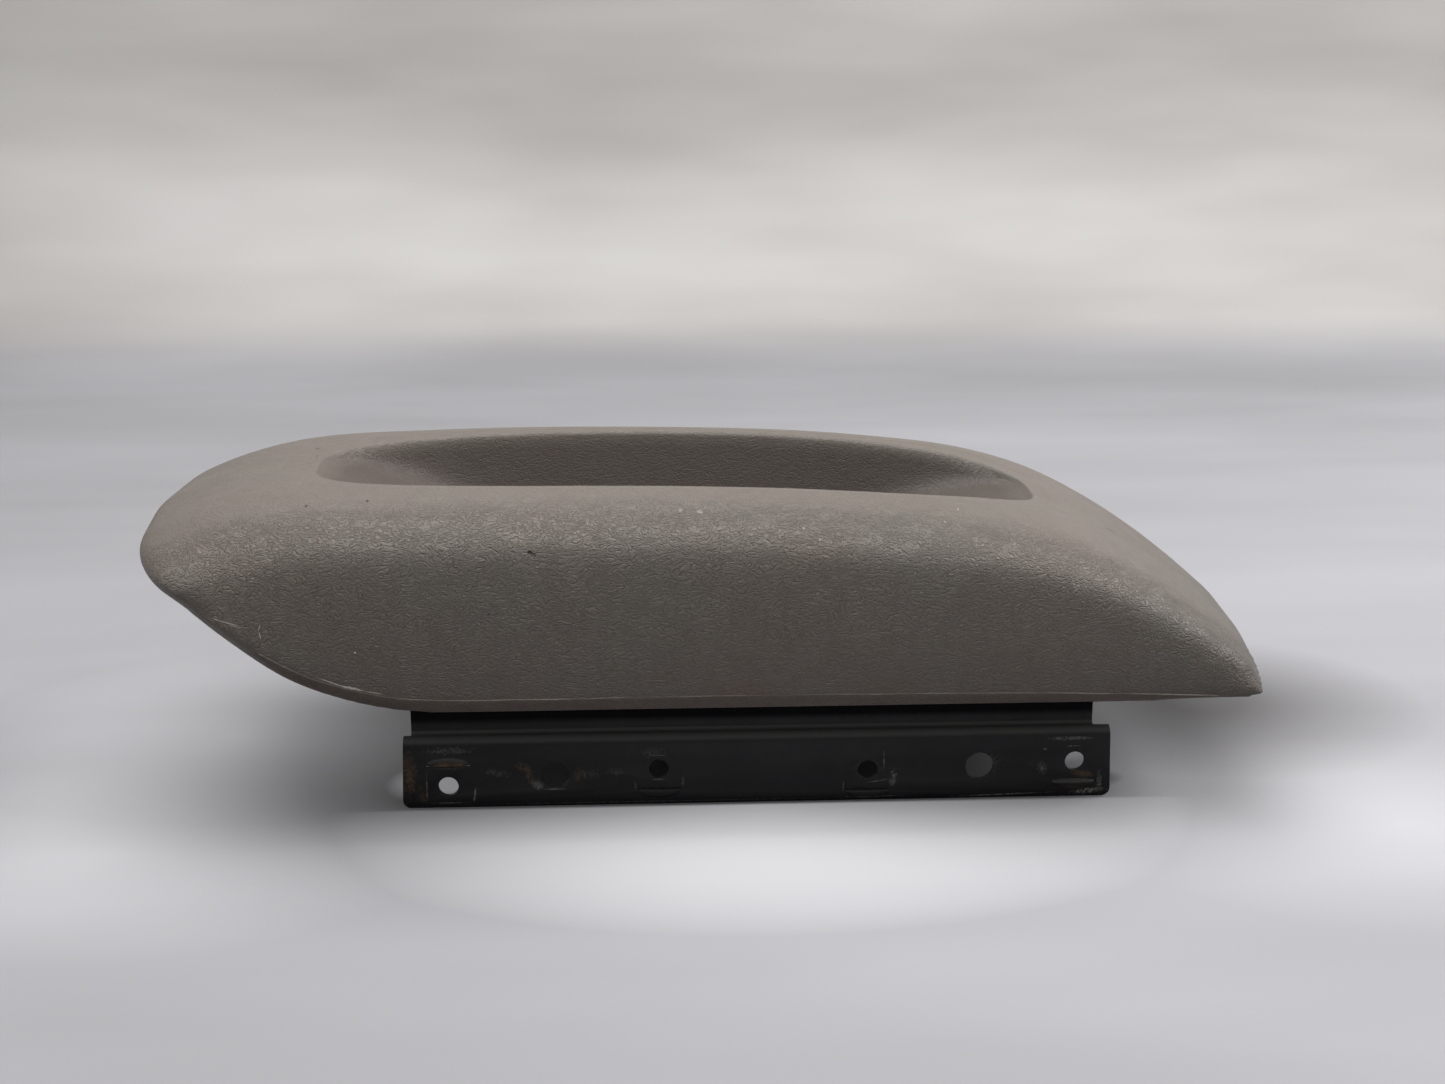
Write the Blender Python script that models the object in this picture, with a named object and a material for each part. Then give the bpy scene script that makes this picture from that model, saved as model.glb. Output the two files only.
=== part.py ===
"""Armrest lid of a center console: a moulded pad on a pressed steel bracket.

The pad is a one-piece self-skinned foam moulding with a blunt raised nose, a falling tail, a sunk pocket
in its top and a bevelled band below its parting line. A steel plate with four weld nuts is moulded into
its underside. Four screws hold it to a bracket folded from one sheet: a top plate, two walls, and below a
joggle on each side a longer flange with four small holes, two large holes and four lanced slots.

Metres, +Z up. +X runs along the lid from the nose to the tail. The origin is the middle of the pad's length
and width, at the lower edges of the flanges, on which it stands.
"""

import math

import bmesh
import bpy
from mathutils import Matrix, Vector

MM = 0.001

# Gap that is kept between pieces that touch
SEAT_GAP = 0.3 * MM

# Bracket: one folded sheet, an inverted channel with a joggled flange on each side
SHEET = 1.6 * MM
BRACKET_WIDTH = 100.0 * MM
FLANGE_LENGTH = 246.0 * MM
FLANGE_CENTRE_X = 18.6 * MM
FLANGE_HEIGHT = 25.5 * MM
FLANGE_CORNER_RADIUS = 3.0 * MM
FLANGE_END_SLANT = 1.0 * MM
JOGGLE_OUTER_RADIUS = 3.0 * MM
JOGGLE_INNER_RADIUS = 1.6 * MM
WALL_LENGTH = 236.0 * MM
WALL_CENTRE_X = 17.1 * MM
WALL_HEIGHT = 19.6 * MM
TOP_BEND_RADIUS = 2.6 * MM

# Holes along each flange, counted from the nose end
SMALL_HOLE_DIAMETER = 6.9 * MM
SMALL_HOLE_PITCH = 72.4 * MM
SMALL_HOLE_SHIFT = 1.5 * MM
SMALL_HOLE_HEIGHTS = [7.8 * MM, 12.9 * MM, 11.2 * MM, 13.1 * MM]
LARGE_HOLE_DIAMETER = 9.8 * MM
LARGE_HOLE_PITCH = 147.0 * MM
LARGE_HOLE_SHIFT = 3.2 * MM
LARGE_HOLE_HEIGHTS = [11.2 * MM, 11.9 * MM]

# Lanced slots: +1 lies above its hole, -1 below it
LANCE_WIDTH = 15.0 * MM
LANCE_OFFSET = 7.8 * MM
LANCE_SLIT = 0.9 * MM
LANCE_RISE = 1.1 * MM
LANCE_BULGE = 2.8 * MM
LANCE_SIDES = [1, -1, -1, -1]
LANCE_POINTS = 20

# Screws, washers and weld nuts
SCREW_SPREAD_X = 170.0 * MM
SCREW_SPREAD_Y = 38.0 * MM
SCREW_SHANK_DIAMETER = 6.0 * MM
SCREW_HEAD_ACROSS_FLATS = 10.0 * MM
SCREW_HEAD_HEIGHT = 3.6 * MM
SCREW_FLANGE_DIAMETER = 13.0 * MM
SCREW_FLANGE_HEIGHT = 1.2 * MM
SCREW_END_PLAY = 1.0 * MM
WASHER_DIAMETER = 15.0 * MM
WASHER_THICKNESS = 1.4 * MM
NUT_ACROSS_FLATS = 11.0 * MM
NUT_HEIGHT = 6.0 * MM

# Plate moulded into the pad's underside
PLATE_LENGTH = 226.0 * MM
PLATE_WIDTH = 74.0 * MM
PLATE_THICKNESS = 2.5 * MM
PLATE_CORNER_RADIUS = 8.0 * MM

# Pad, side view: lines through points given as shares of the length from the nose and of the height
PAD_LENGTH = 388.2 * MM
PAD_HEIGHT = 68.5 * MM
TOP_LINE = [(0.000, 0.665), (0.004, 0.738), (0.014, 0.765), (0.035, 0.819), (0.070, 0.887),
            (0.119, 0.942), (0.199, 0.965), (0.304, 0.981), (0.423, 0.980), (0.523, 0.968),
            (0.602, 0.948), (0.682, 0.909), (0.761, 0.849), (0.831, 0.735), (0.891, 0.563),
            (0.940, 0.382), (0.970, 0.250), (0.985, 0.178), (0.993, 0.080), (1.000, 0.045)]
UNDER_LINE = [(0.000, 0.622), (0.004, 0.604), (0.020, 0.557), (0.060, 0.373), (0.109, 0.182),
              (0.159, 0.075), (0.209, 0.016), (0.254, 0.000), (0.403, 0.000), (0.702, 0.000),
              (0.994, 0.000)]

# Pad, end view: flat crown, slope, rounded shoulder, drafted side and the bevelled band below it
PAD_WIDTH = 160.0 * MM
CROWN_FLAT_WIDTH = 78.0 * MM
SLOPE_DROP = 7.0 * MM
SHOULDER_INSET = 10.5 * MM
SHOULDER_DROP = 17.5 * MM
SIDE_DRAFT = 2.4 * MM
BAND_HEIGHT = 4.2 * MM
BAND_SLOPE = 2.0 * MM
BAND_LAND = 0.8 * MM

# Pad, plan: how far each end comes in from the middle to the sides, as a bow and at the shoulder
NOSE_BOW = 14.8 * MM
NOSE_ROUNDING = 7.3 * MM
TAIL_BOW = 9.0 * MM
TAIL_ROUNDING = 0.8 * MM

# Pad, towards its ends: how much rounder than the middle's section (over 0) or squarer (under 0) it gets
END_CHANGE_LENGTH = 65.0 * MM
NOSE_DOME = 3.3
TAIL_DOME = -0.55

# Pocket in the pad's top
POCKET_LENGTH = 255.0 * MM
POCKET_CENTRE_X = -7.9 * MM
POCKET_WIDTH = 82.0 * MM
POCKET_DEPTH = 34.0 * MM
POCKET_RIM_SQUARENESS = 3.4
POCKET_FLOOR_SQUARENESS = 6.0
POCKET_END_RUN = 54.0 * MM
POCKET_SIDE_RUN = 5.0 * MM
POCKET_FLOOR_FILLET = 8.0 * MM
POCKET_LIP = 3.5 * MM
POCKET_END_LIP_SHARE = 0.15

# Facet counts
LINE_STEPS_TOP = 52
LINE_STEPS_UNDER = 30
POCKET_POINTS = 72
BEND_STEPS = 5
ROUND_STEPS = 28
FASTENER_STEPS = 24
SLOPE_STEPS = 3
SHOULDER_STEPS = 5
SIDE_STEPS = 3

# Pocket lip: share of the lip's width outside the rim, and its depth below the pad's top as a share of it
LIP_PROFILE = [(1.0, -0.05), (0.45, 0.25), (0.12, 0.62), (0.0, 1.1)]
# Pocket floor fillet: share of the fillet's run inwards, and of its rise above the floor
FLOOR_PROFILE = [(0.0, 1.0), (0.3, 0.3), (1.0, 0.0)]

# Places that follow from the sizes above
FLANGE_FACE_Y = BRACKET_WIDTH / 2
WALL_FACE_Y = FLANGE_FACE_Y - JOGGLE_OUTER_RADIUS - JOGGLE_INNER_RADIUS
BRACKET_TOP_Z = FLANGE_HEIGHT + WALL_HEIGHT
PAD_BASE_Z = BRACKET_TOP_Z + SEAT_GAP
PLATE_TOP_Z = PAD_BASE_Z + PLATE_THICKNESS
WASHER_TOP_Z = BRACKET_TOP_Z - SHEET - SEAT_GAP
SCREW_SEAT_Z = WASHER_TOP_Z - WASHER_THICKNESS - SEAT_GAP
NUT_BASE_Z = PLATE_TOP_Z + SEAT_GAP
CLEARANCE_HOLE = SCREW_SHANK_DIAMETER + 2 * SEAT_GAP
CROWN_FLAT_Y = CROWN_FLAT_WIDTH / 2


def clear_scene():
    for old in list(bpy.data.objects):
        bpy.data.objects.remove(old, do_unlink=True)


def make_material(name, colour, roughness, metallic=0.0):
    material = bpy.data.materials.new(name)
    material.use_nodes = True
    shader = material.node_tree.nodes["Principled BSDF"]
    shader.inputs["Base Color"].default_value = (*colour, 1.0)
    shader.inputs["Roughness"].default_value = roughness
    shader.inputs["Metallic"].default_value = metallic
    return material


def make_object(name, bm, material, sharp_angle=35.0):
    """Turns a bmesh into an object with outward normals, smooth except at sharp edges."""
    bmesh.ops.recalc_face_normals(bm, faces=bm.faces)
    mesh = bpy.data.meshes.new(name)
    bm.to_mesh(mesh)
    bm.free()
    mesh.shade_smooth()
    mesh.set_sharp_from_angle(angle=math.radians(sharp_angle))
    piece = bpy.data.objects.new(name, mesh)
    if material:
        mesh.materials.append(material)
    bpy.context.collection.objects.link(piece)
    return piece


def make_cutter(name, bm):
    cutter = make_object(name, bm, None)
    cutter.hide_render = True
    cutter.display_type = "WIRE"
    return cutter


def add_boolean(piece, operand, operation="DIFFERENCE"):
    modifier = piece.modifiers.new(operand.name, "BOOLEAN")
    modifier.object = operand
    modifier.operation = operation
    modifier.solver = "EXACT"
    operand.parent = piece


def loft(bm, rings):
    """Skins closed rings of equal length one after the other and caps both ends."""
    loops = [[bm.verts.new(point) for point in ring] for ring in rings]
    count = len(loops[0])
    for low, high in zip(loops, loops[1:]):
        for i in range(count):
            j = (i + 1) % count
            bm.faces.new((low[i], low[j], high[j], high[i]))
    bm.faces.new(loops[0])
    bm.faces.new(loops[-1])
    return loops


def extrude_section(bm, section, x_low, x_high):
    """A prism along X from a closed list of (y, z) points."""
    return loft(bm, [[(x, y, z) for y, z in section] for x in (x_low, x_high)])


def add_cylinder(bm, radius, low, high, axis="Z", centre=(0.0, 0.0), steps=ROUND_STEPS):
    """A cylinder along Z round (x, y), or along Y round (x, z)."""
    turn = Matrix.Identity(4) if axis == "Z" else Matrix.Rotation(math.radians(90.0), 4, "X")
    middle = (low + high) / 2
    if axis == "Z":
        place = Vector((centre[0], centre[1], middle))
    else:
        place = Vector((centre[0], middle, centre[1]))
    bmesh.ops.create_cone(bm, cap_ends=True, segments=steps, radius1=radius, radius2=radius,
                          depth=high - low, matrix=Matrix.Translation(place) @ turn)


def bezier(start, handle_a, handle_b, end, steps):
    """Points of a cubic curve, with its start and without its end."""
    points = []
    for i in range(steps):
        t = i / steps
        u = 1 - t
        points.append(tuple(u ** 3 * a + 3 * u * u * t * b + 3 * u * t * t * c + t ** 3 * d
                            for a, b, c, d in zip(start, handle_a, handle_b, end)))
    return points


def bend_path(corners, radii, steps=BEND_STEPS):
    """Rounds the inner corners of an open path of (y, z) points, one radius for each."""
    path = [corners[0]]
    for before, corner, after, radius in zip(corners, corners[1:], corners[2:], radii):
        here = Vector(corner)
        back = (Vector(before) - here).normalized()
        ahead = (Vector(after) - here).normalized()
        centre = here + (back + ahead) * radius
        start = -ahead
        finish = -back
        for i in range(steps + 1):
            angle = i / steps * math.pi / 2
            path.append(tuple(centre + (start * math.cos(angle) + finish * math.sin(angle)) * radius))
    path.append(corners[-1])
    return path


def sheet_section(corners, sheet, radii):
    """A closed section of bent sheet: the corners give its outer face, and its inner face lies to the
    right of the way they run."""
    outer = bend_path(corners, radii)
    inner = []
    for i, point in enumerate(outer):
        before = Vector(outer[max(i - 1, 0)])
        after = Vector(outer[min(i + 1, len(outer) - 1)])
        run = (after - before).normalized()
        inner.append(tuple(Vector(point) + Vector((run.y, -run.x)) * sheet))
    return outer + inner[::-1]


def build_bracket(material):
    """The folded bracket: section along X, slanted flange ends, notched upper corners, holes and slots."""
    face, wall, top = FLANGE_FACE_Y, WALL_FACE_Y, BRACKET_TOP_Z
    corners = [(-face, 0.0), (-face, FLANGE_HEIGHT), (-wall, FLANGE_HEIGHT), (-wall, top),
               (wall, top), (wall, FLANGE_HEIGHT), (face, FLANGE_HEIGHT), (face, 0.0)]
    radii = [JOGGLE_OUTER_RADIUS, JOGGLE_INNER_RADIUS, TOP_BEND_RADIUS,
             TOP_BEND_RADIUS, JOGGLE_INNER_RADIUS, JOGGLE_OUTER_RADIUS]
    bm = bmesh.new()
    half = FLANGE_LENGTH / 2 - FLANGE_END_SLANT
    extrude_section(bm, sheet_section(corners, SHEET, radii), FLANGE_CENTRE_X - half, FLANGE_CENTRE_X + half)
    for vert in bm.verts:
        drop = max(0.0, 1.0 - vert.co.z / FLANGE_HEIGHT)
        vert.co.x += math.copysign(FLANGE_END_SLANT * drop, vert.co.x - FLANGE_CENTRE_X)
    foot_edges = [edge for edge in bm.edges
                  if all(abs(v.co.z) < 1e-6 for v in edge.verts)
                  and abs(edge.verts[0].co.x - edge.verts[1].co.x) < 1e-6]
    bmesh.ops.bevel(bm, geom=foot_edges, offset=FLANGE_CORNER_RADIUS, segments=5, profile=0.5,
                    affect="EDGES", material=-1)
    bracket = make_object("bracket", bm, material)
    add_boolean(bracket, build_end_notches())
    add_boolean(bracket, build_lance_bulges("lance_bulges", FLANGE_FACE_Y), "UNION")
    add_boolean(bracket, build_lance_bulges("lance_hollows", FLANGE_FACE_Y - SHEET))
    add_boolean(bracket, build_flange_cuts())
    holes = bmesh.new()
    for place in screw_places():
        add_cylinder(holes, CLEARANCE_HOLE / 2, WASHER_TOP_Z, PAD_BASE_Z + SHEET, centre=place)
    add_boolean(bracket, make_cutter("bracket_screw_holes", holes))
    return bracket


def build_end_notches():
    """Two blocks that cut the walls and the top plate back from the flanges' ends."""
    bm = bmesh.new()
    low_z = FLANGE_HEIGHT - SHEET - JOGGLE_INNER_RADIUS
    depth = 2 * (WALL_FACE_Y + JOGGLE_INNER_RADIUS)
    for way in (-1, 1):
        edge = WALL_CENTRE_X + way * WALL_LENGTH / 2
        block = Matrix.Diagonal((FLANGE_LENGTH, depth, 2 * BRACKET_TOP_Z, 1.0))
        place = Matrix.Translation((edge + way * FLANGE_LENGTH / 2, 0.0, low_z + BRACKET_TOP_Z))
        bmesh.ops.create_cube(bm, size=1.0, matrix=place @ block)
    return make_cutter("end_notches", bm)


def small_hole_places():
    """Centres (x, z) of the small holes, and which side of each its slot lies on."""
    first = FLANGE_CENTRE_X + SMALL_HOLE_SHIFT - (len(SMALL_HOLE_HEIGHTS) - 1) / 2 * SMALL_HOLE_PITCH
    return [(first + i * SMALL_HOLE_PITCH, height, LANCE_SIDES[i])
            for i, height in enumerate(SMALL_HOLE_HEIGHTS)]


def build_lance_bulges(name, face_y):
    """Half lenses beside the slots of both flanges, flat towards their holes: at the outer face they are
    the pressed bulges, and at the inner face the hollows behind them."""
    bm = bmesh.new()
    slit_middle = LANCE_OFFSET - LANCE_SLIT / 2
    levels = [(slit_middle, 1.0)]
    for latitude in (0, 20, 40, 60, 78):
        angle = math.radians(latitude)
        levels.append((LANCE_OFFSET + LANCE_BULGE * math.sin(angle), math.cos(angle)))
    for side in (-1, 1):
        for x, z, way in small_hole_places():
            loft(bm, [[(x + LANCE_WIDTH / 2 * shrink * math.cos(math.tau * k / LANCE_POINTS),
                        side * face_y + LANCE_RISE * shrink * math.sin(math.tau * k / LANCE_POINTS),
                        z + way * rise) for k in range(LANCE_POINTS)] for rise, shrink in levels])
    return make_cutter(name, bm)


def build_flange_cuts():
    """Holes and slits through both flanges."""
    bm = bmesh.new()
    reach = SHEET + LANCE_RISE + JOGGLE_OUTER_RADIUS
    for side in (-1, 1):
        low, high = side * FLANGE_FACE_Y - reach, side * FLANGE_FACE_Y + reach
        for x, z, way in small_hole_places():
            add_cylinder(bm, SMALL_HOLE_DIAMETER / 2, low, high, axis="Y", centre=(x, z))
            size = Matrix.Diagonal((LANCE_WIDTH, high - low, LANCE_SLIT, 1.0))
            place = Matrix.Translation((x, side * FLANGE_FACE_Y, z + way * (LANCE_OFFSET - LANCE_SLIT / 2)))
            bmesh.ops.create_cube(bm, size=1.0, matrix=place @ size)
        for i, height in enumerate(LARGE_HOLE_HEIGHTS):
            x = FLANGE_CENTRE_X + LARGE_HOLE_SHIFT + (i - 0.5) * LARGE_HOLE_PITCH
            add_cylinder(bm, LARGE_HOLE_DIAMETER / 2, low, high, axis="Y", centre=(x, height))
    return make_cutter("flange_cuts", bm)


def screw_places():
    return [(WALL_CENTRE_X + sx * SCREW_SPREAD_X / 2, sy * SCREW_SPREAD_Y / 2)
            for sx in (-1, 1) for sy in (-1, 1)]


def rounded_rectangle(length, width, radius, centre_x, steps=5):
    points = []
    corners = [(1, 1, 0), (-1, 1, 1), (-1, -1, 2), (1, -1, 3)]
    for sx, sy, quarter in corners:
        for i in range(steps + 1):
            angle = (quarter + i / steps) * math.pi / 2
            points.append((centre_x + sx * (length / 2 - radius) + radius * math.cos(angle),
                           sy * (width / 2 - radius) + radius * math.sin(angle)))
    return points


def add_plate_prism(bm, grow, low, high):
    outline = rounded_rectangle(PLATE_LENGTH + 2 * grow, PLATE_WIDTH + 2 * grow,
                                PLATE_CORNER_RADIUS + grow, WALL_CENTRE_X)
    loft(bm, [[(x, y, z) for x, y in outline] for z in (low, high)])


def build_plate(material):
    bm = bmesh.new()
    add_plate_prism(bm, 0.0, PAD_BASE_Z, PLATE_TOP_Z)
    plate = make_object("insert_plate", bm, material)
    cuts = bmesh.new()
    for place in screw_places():
        add_cylinder(cuts, CLEARANCE_HOLE / 2, PAD_BASE_Z - PLATE_THICKNESS, NUT_BASE_Z + PLATE_THICKNESS,
                     centre=place)
    add_boolean(plate, make_cutter("insert_plate_holes", cuts))
    return plate


def circle(radius, count=FASTENER_STEPS):
    return [(radius * math.cos(math.tau * k / count), radius * math.sin(math.tau * k / count))
            for k in range(count)]


def resample(polygon, count=FASTENER_STEPS):
    """The same number of points along each side of a polygon."""
    points = []
    per_side = count // len(polygon)
    for a, b in zip(polygon, polygon[1:] + polygon[:1]):
        for k in range(per_side):
            t = k / per_side
            points.append((a[0] + (b[0] - a[0]) * t, a[1] + (b[1] - a[1]) * t))
    return points


def hexagon(across_flats):
    return resample(circle(across_flats / math.sqrt(3), 6))


def place_ring(outline, x, y, z):
    return [(x + px, y + py, z) for px, py in outline]


def build_screw(name, x, y, material):
    """A hex flange screw that points up, from its head to its shank's end."""
    seat = SCREW_SEAT_Z
    flange_low = seat - SCREW_FLANGE_HEIGHT
    head = hexagon(SCREW_HEAD_ACROSS_FLATS)
    flange = circle(SCREW_FLANGE_DIAMETER / 2)
    shank = circle(SCREW_SHANK_DIAMETER / 2)
    levels = [(head, flange_low - SCREW_HEAD_HEIGHT), (head, flange_low), (flange, flange_low),
              (flange, seat), (shank, seat), (shank, NUT_BASE_Z + NUT_HEIGHT - SCREW_END_PLAY)]
    bm = bmesh.new()
    loft(bm, [place_ring(outline, x, y, z) for outline, z in levels])
    make_object(name, bm, material)


def build_ring(name, x, y, outer, low, high, material):
    """A washer or a nut: an outline with the screw's clearance bore."""
    bore = circle(CLEARANCE_HOLE / 2)
    bm = bmesh.new()
    loops = [[bm.verts.new(point) for point in place_ring(outline, x, y, z)]
             for outline, z in ((bore, low), (outer, low), (outer, high), (bore, high))]
    for a, b in zip(loops, loops[1:] + loops[:1]):
        for k in range(FASTENER_STEPS):
            n = (k + 1) % FASTENER_STEPS
            bm.faces.new((a[k], a[n], b[n], b[k]))
    make_object(name, bm, material)


def build_fasteners(steel):
    """Four screws from below, each with its washer and its weld nut on the plate."""
    for i, (x, y) in enumerate(screw_places(), start=1):
        build_screw(f"mount_screw_{i}", x, y, steel)
        build_ring(f"lock_washer_{i}", x, y, circle(WASHER_DIAMETER / 2),
                   WASHER_TOP_Z - WASHER_THICKNESS, WASHER_TOP_Z, steel)
        build_ring(f"insert_nut_{i}", x, y, hexagon(NUT_ACROSS_FLATS), NUT_BASE_Z, NUT_BASE_Z + NUT_HEIGHT,
                   steel)


def smooth_line(points, steps):
    """A curve through points with rising x, as steps + 1 points that bunch where the given ones do."""
    slopes = []
    for i in range(len(points)):
        before, after = points[max(i - 1, 0)], points[min(i + 1, len(points) - 1)]
        slopes.append((after[1] - before[1]) / (after[0] - before[0]))
    line = []
    for k in range(steps + 1):
        place = k / steps * (len(points) - 1)
        i = min(int(place), len(points) - 2)
        t = place - i
        (xa, za), (xb, zb) = points[i], points[i + 1]
        run = xb - xa
        z = ((2 * t ** 3 - 3 * t * t + 1) * za + (t ** 3 - 2 * t * t + t) * run * slopes[i]
             + (3 * t * t - 2 * t ** 3) * zb + (t ** 3 - t * t) * run * slopes[i + 1])
        line.append((xa + run * t, z))
    return line


def height_at(line, x):
    """Height of a line at x, and that of its nearest end outside it."""
    if x <= line[0][0]:
        return line[0][1]
    for (xa, za), (xb, zb) in zip(line, line[1:]):
        if x <= xb:
            return za + (zb - za) * (x - xa) / (xb - xa)
    return line[-1][1]


def side_view_line(shares, steps):
    """A side view line in metres, from the nose to the tail, with heights above the pad's underside."""
    return [((share - 0.5) * PAD_LENGTH, height * PAD_HEIGHT) for share, height in smooth_line(shares, steps)]


def half_section():
    """The pad's half section as (y, drop below the crown), from its middle to the top of its band."""
    half = PAD_WIDTH / 2
    flat = (CROWN_FLAT_Y, 0.0)
    shoulder = (half - SHOULDER_INSET, SLOPE_DROP)
    side = (half - SIDE_DRAFT, SHOULDER_DROP)
    widest = (half, PAD_HEIGHT - BAND_HEIGHT - BAND_LAND)
    slope_run = shoulder[0] - flat[0]
    corner = (side[0] - (SHOULDER_DROP - SLOPE_DROP) * SIDE_DRAFT / widest[1],
              shoulder[1] + 2 * SLOPE_DROP / slope_run * (SHOULDER_INSET - SIDE_DRAFT))
    section = [(0.0, 0.0)]
    section += bezier(flat, (flat[0] + slope_run / 3, 0.0),
                      (shoulder[0] - slope_run / 3, shoulder[1] - 2 * SLOPE_DROP / 3), shoulder, SLOPE_STEPS)
    section += bezier(shoulder, between(shoulder, corner, 0.6), between(side, corner, 0.6), side, SHOULDER_STEPS)
    section += bezier(side, (side[0] + SIDE_DRAFT / 2, side[1] + (widest[1] - side[1]) / 3),
                      (widest[0], side[1] + (widest[1] - side[1]) * 2 / 3), widest, SIDE_STEPS)
    return section + [widest]


def between(a, b, share):
    return tuple(p + (q - p) * share for p, q in zip(a, b))


def end_scale(x, y, drop):
    """How far the plan's bow and rounded ends draw a side view point in towards the middle."""
    bow, rounding = (NOSE_BOW, NOSE_ROUNDING) if x < 0.0 else (TAIL_BOW, TAIL_ROUNDING)
    setback = bow * (y / (PAD_WIDTH / 2)) ** 2 + rounding * min(drop / SHOULDER_DROP, 1.0)
    return 1.0 - setback / (PAD_LENGTH / 2)


def height_share(x, drop):
    """The share of the local height that is left at a section point, with the ends rounder or squarer."""
    near = max(0.0, 1.0 - (PAD_LENGTH / 2 - abs(x)) / END_CHANGE_LENGTH) ** 2
    dome = (NOSE_DOME if x < 0.0 else TAIL_DOME) * near
    fall = drop / PAD_HEIGHT
    return 1.0 - fall * (1.0 + dome) / (1.0 + dome * fall)


def pad_ring(top, under, y, drop, lift=0.0):
    """The closed side view at one depth. drop is the section's fall there, and lift raises the lower line."""
    ring = []
    for x, z in top:
        low = height_at(under, x)
        share = height_share(x, drop)
        ring.append((x, max(low + (z - low) * share, low + (lift + BAND_LAND) * (z - low) / PAD_HEIGHT)))
    for x, z in reversed(under[1:-1]):
        ring.append((x, z + lift * (height_at(top, x) - z) / PAD_HEIGHT))
    return [(x * end_scale(x, y, drop), y, PAD_BASE_Z + z) for x, z in ring]


def crown_height(x, y):
    """Height of the pad's top at (x, y)."""
    section = half_section()
    drop = height_at(section, abs(y))
    top = side_view_line(TOP_LINE, LINE_STEPS_TOP)
    under = side_view_line(UNDER_LINE, LINE_STEPS_UNDER)
    along = x / end_scale(x, y, drop)
    low = height_at(under, along)
    return PAD_BASE_Z + low + (height_at(top, along) - low) * height_share(along, drop)


def build_pad(material):
    top = side_view_line(TOP_LINE, LINE_STEPS_TOP)
    under = side_view_line(UNDER_LINE, LINE_STEPS_UNDER)
    section = half_section()
    band_y = PAD_WIDTH / 2 - BAND_SLOPE
    section = sorted(section + [(band_y, height_at(section, band_y))])
    stations = [(y, drop, BAND_HEIGHT * max(0.0, y - band_y) / BAND_SLOPE) for y, drop in section]
    rings = [pad_ring(top, under, -y, drop, lift) for y, drop, lift in reversed(stations)]
    rings += [pad_ring(top, under, y, drop, lift) for y, drop, lift in stations[1:]]
    bm = bmesh.new()
    loft(bm, rings)
    pad = make_object("armrest_pad", bm, material)
    add_boolean(pad, build_pocket_cutter())
    recess = bmesh.new()
    add_plate_prism(recess, SEAT_GAP, PAD_BASE_Z - PLATE_THICKNESS, PLATE_TOP_Z + SEAT_GAP)
    add_boolean(pad, make_cutter("insert_recess", recess))
    bores = bmesh.new()
    for place in screw_places():
        add_cylinder(bores, NUT_ACROSS_FLATS / math.sqrt(3) + SEAT_GAP, PAD_BASE_Z,
                     NUT_BASE_Z + NUT_HEIGHT + SEAT_GAP, centre=place)
    add_boolean(pad, make_cutter("insert_nut_bores", bores))
    return pad


def pocket_loop(grow_x, grow_y, squareness, height):
    """A superellipse round the pocket; height is a function of x and y."""
    loop = []
    power = 2.0 / squareness
    for k in range(POCKET_POINTS):
        angle = math.tau * k / POCKET_POINTS
        c, s = math.cos(angle), math.sin(angle)
        x = POCKET_CENTRE_X + math.copysign(abs(c) ** power, c) * (POCKET_LENGTH / 2 + grow_x)
        y = math.copysign(abs(s) ** power, s) * (POCKET_WIDTH / 2 + grow_y)
        loop.append((x, y, height(x, y)))
    return loop


def lip_share(x):
    """How deep the lip rolls in at x: fully along the steep sides, less where the end ramps meet it."""
    out = min(abs(x - POCKET_CENTRE_X) / (POCKET_LENGTH / 2), 1.0)
    return 1.0 - (1.0 - POCKET_END_LIP_SHARE) * out ** 3


def build_pocket_cutter():
    """The pocket as a lofted tub with a rolled lip, ramps at both ends and a filleted floor."""
    floor = PAD_BASE_Z + PAD_HEIGHT - POCKET_DEPTH
    fillet = POCKET_FLOOR_FILLET
    lip = POCKET_LIP
    rim, bottom = POCKET_RIM_SQUARENESS, POCKET_FLOOR_SQUARENESS
    rings = [pocket_loop(lip, lip, rim, lambda x, y: PAD_BASE_Z + 2 * PAD_HEIGHT)]
    for out, depth in LIP_PROFILE:
        rings.append(pocket_loop(out * lip, out * lip, rim,
                                 lambda x, y: crown_height(x, y) - depth * lip * lip_share(x)))
    for run, rise in FLOOR_PROFILE:
        rings.append(pocket_loop(-POCKET_END_RUN - run * fillet, -POCKET_SIDE_RUN - run * fillet, bottom,
                                 lambda x, y: floor + rise * fillet))
    bm = bmesh.new()
    loft(bm, rings)
    return make_cutter("pocket_cutter", bm)


def main():
    clear_scene()
    skin = make_material("moulded_skin", (0.21, 0.18, 0.155), 0.55)
    paint = make_material("black_paint", (0.012, 0.012, 0.014), 0.4)
    zinc = make_material("zinc_steel", (0.45, 0.45, 0.43), 0.35, 1.0)
    build_bracket(paint)
    build_plate(zinc)
    build_fasteners(zinc)
    build_pad(skin)


main()
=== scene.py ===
"""Looks of a console armrest lid: grained moulded pad on a black painted steel bracket."""

import math

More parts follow.
